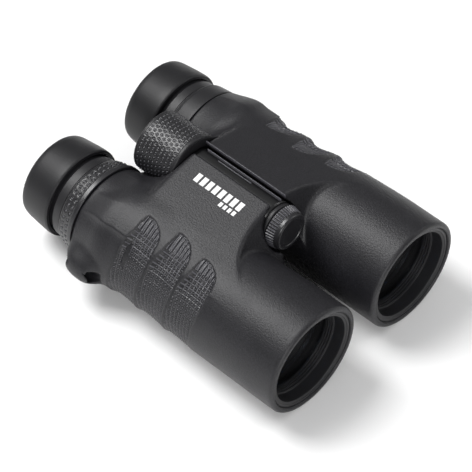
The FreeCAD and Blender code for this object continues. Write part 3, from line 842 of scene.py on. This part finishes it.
def bar(work, span_x, span_z, span_y, bevel):
    """A bevelled bar along Y, added to a bmesh."""
    x0, x1 = span_x
    y0, y1 = span_y
    z0, z1 = span_z
    made = bmesh.ops.create_cube(work, size=1.0)["verts"]
    size = Vector((x1 - x0, y1 - y0, z1 - z0)) * MM
    centre = Vector(((x0 + x1) / 2, (y0 + y1) / 2, (z0 + z1) / 2)) * MM
    bmesh.ops.transform(work, matrix=Matrix.Translation(centre) @ Matrix.Diagonal(size.to_4d()), verts=made)
    edges = list({e for v in made for e in v.link_edges})
    bmesh.ops.bevel(work, geom=edges, offset=bevel * MM, segments=3, profile=0.5, affect="EDGES")


def build_cover():
    """The curved cover over the hinge, with its three thin rails; it runs on under the right panel."""
    inner, outer = COVER_R
    start, end = [math.radians(turn) for turn in COVER_TURN]
    count = 54
    bays = 24
    turn = np.linspace(start, end, count)
    points = []
    for y in np.linspace(*COVER_Y, bays + 1):
        for radius in (outer, inner):
            points += [(radius * math.sin(-t), y, HINGE_Z + radius * math.cos(t)) for t in turn]
    rows = 2 * count
    faces = []
    ring = list(range(count)) + list(range(2 * count - 1, count - 1, -1))
    for k in range(bays):
        for a, b in zip(ring, ring[1:] + ring[:1]):
            faces.append((k * rows + a, k * rows + b, (k + 1) * rows + b, (k + 1) * rows + a))
    piece = make_mesh("hinge_shell", points, faces)
    work = bmesh.new()
    work.from_mesh(piece.data)
    bmesh.ops.holes_fill(work, edges=[e for e in work.edges if e.is_boundary], sides=0)
    shell_points = len(work.verts)
    for rail in COVER_RAILS:
        bar(work, *rail)
    bmesh.ops.recalc_face_normals(work, faces=work.faces)
    work.to_mesh(piece.data)
    work.free()
    piece.data.shade_smooth()
    # relief 1 on the rails gives them a painted highlight from the grip material; the shell takes relief 0 and
    # comes out darker
    mark_relief(piece, [0.0] * shell_points + [1.0] * (len(piece.data.vertices) - shell_points))
    return finish_piece(piece, "grip_rubber", "left_barrel", "hinge_cover")


def build_print():
    """Plain marks on the right panel: a row of even bars and a short row of smaller ones."""
    points = []
    faces = []
    box_faces = ((4, 5, 6, 7), (3, 2, 1, 0), (0, 1, 5, 4), (1, 2, 6, 5), (2, 3, 7, 6), (3, 0, 4, 7))
    for count, x0, x1, first_y, pitch, length in MARK_ROWS:
        for i in range(count):
            y0 = first_y + i * pitch
            y1 = y0 + length
            base = len(points)
            for lift in MARK_LIFTS:
                for x, y in ((x0, y0), (x1, y0), (x1, y1), (x0, y1)):
                    points.append((x, y, PLATEAU_TOP_Z - PLATEAU_SLOPE * x + lift))
            faces += [[base + corner for corner in face] for face in box_faces]
    piece = make_mesh("panel_marks", points, faces)
    piece.data.shade_flat()
    return finish_piece(piece, "panel_print", "right_barrel")


# --- scene --------------------------------------------------------------------------------------------
def build_floor():
    """A plain pale floor."""
    bpy.ops.mesh.primitive_grid_add(x_subdivisions=8, y_subdivisions=8, size=8.0)
    floor = bpy.context.object
    floor.name = "floor"
    floor.location.z = -0.0002
    material = bpy.data.materials.new("pale_floor")
    material.use_nodes = True
    shader = material.node_tree.nodes["Principled BSDF"]
    shader.inputs["Base Color"].default_value = (0.95, 0.95, 0.95, 1.0)
    shader.inputs["Roughness"].default_value = 0.9
    floor.data.materials.append(material)


def area_light(name, place, target, size, power):
    """A soft square light that faces a point."""
    data = bpy.data.lights.new(name, "AREA")
    data.shape = "SQUARE"
    data.size = size
    data.energy = power
    light = bpy.data.objects.new(name, data)
    light.location = place
    light.rotation_euler = (Vector(target) - Vector(place)).to_track_quat("-Z", "Y").to_euler()
    bpy.context.scene.collection.objects.link(light)


def build_lights():
    """A dim world, brighter overhead, a soft light above the right rear, and two in front.

    The view transform goes with them: Standard keeps the floor white."""
    world = bpy.data.worlds.new("studio")
    bpy.context.scene.world = world
    world.use_nodes = True
    nodes, links = world.node_tree.nodes, world.node_tree.links
    background = nodes["Background"]
    background.inputs["Color"].default_value = (1.0, 1.0, 1.0, 1.0)
    place = nodes.new("ShaderNodeTexCoord")
    split = nodes.new("ShaderNodeSeparateXYZ")
    links.new(place.outputs["Generated"], split.inputs["Vector"])
    height = nodes.new("ShaderNodeMapRange")
    height.interpolation_type = "SMOOTHSTEP"
    height.inputs["From Min"].default_value = 0.1
    height.inputs["From Max"].default_value = 0.9
    height.inputs["To Min"].default_value = 0.16
    height.inputs["To Max"].default_value = 0.46
    links.new(split.outputs["Z"], height.inputs["Value"])
    links.new(height.outputs["Result"], background.inputs["Strength"])
    centre = (0.0, 0.0, 0.03)
    area_light("top_light", (0.28, -0.60, 1.16), centre, 0.65, 16.0)
    area_light("front_light", (1.1, 1.3, 0.9), centre, 0.7, 16.0)
    area_light("side_light", (-1.3, 0.7, 0.9), centre, 0.6, 4.0)
    bpy.context.scene.view_settings.view_transform = "Standard"


def build_camera():
    """The camera, looking down on the object from the front right."""
    place = Vector(CAMERA_PLACE)
    back = Vector(CAMERA_BACK).normalized()
    azimuth = math.atan2(back.x, -back.y)
    roll = math.radians(CAMERA_ROLL)
    level = Vector((math.cos(azimuth), math.sin(azimuth), 0.0))
    upright = back.cross(level)
    right = math.cos(roll) * level + math.sin(roll) * upright
    up = -math.sin(roll) * level + math.cos(roll) * upright
    data = bpy.data.cameras.new("camera")
    data.sensor_width = 36.0
    data.lens = CAMERA_LENS
    data.clip_end = 20.0
    camera = bpy.data.objects.new("camera", data)
    turn = Matrix((right, up, back)).transposed().to_4x4()
    camera.matrix_world = Matrix.Translation(place) @ turn
    bpy.context.scene.collection.objects.link(camera)
    bpy.context.scene.camera = camera


def main():
    """Builds every piece, and then the floor, the lights and the camera."""
    dress_cad_nodes()
    for side in ("right", "left"):
        build_skin(side)
        for i in range(3):
            finish_piece(build_grip(side, i), "grip_rubber", side + "_barrel")
        build_front_ring(side)
        build_neck(side)
        build_eyecup(side)
    build_diopter_ring()
    build_left_collar()
    build_wheel()
    build_cap()
    build_nose()
    build_cover()
    build_print()
    build_floor()
    build_lights()
    build_camera()


main()
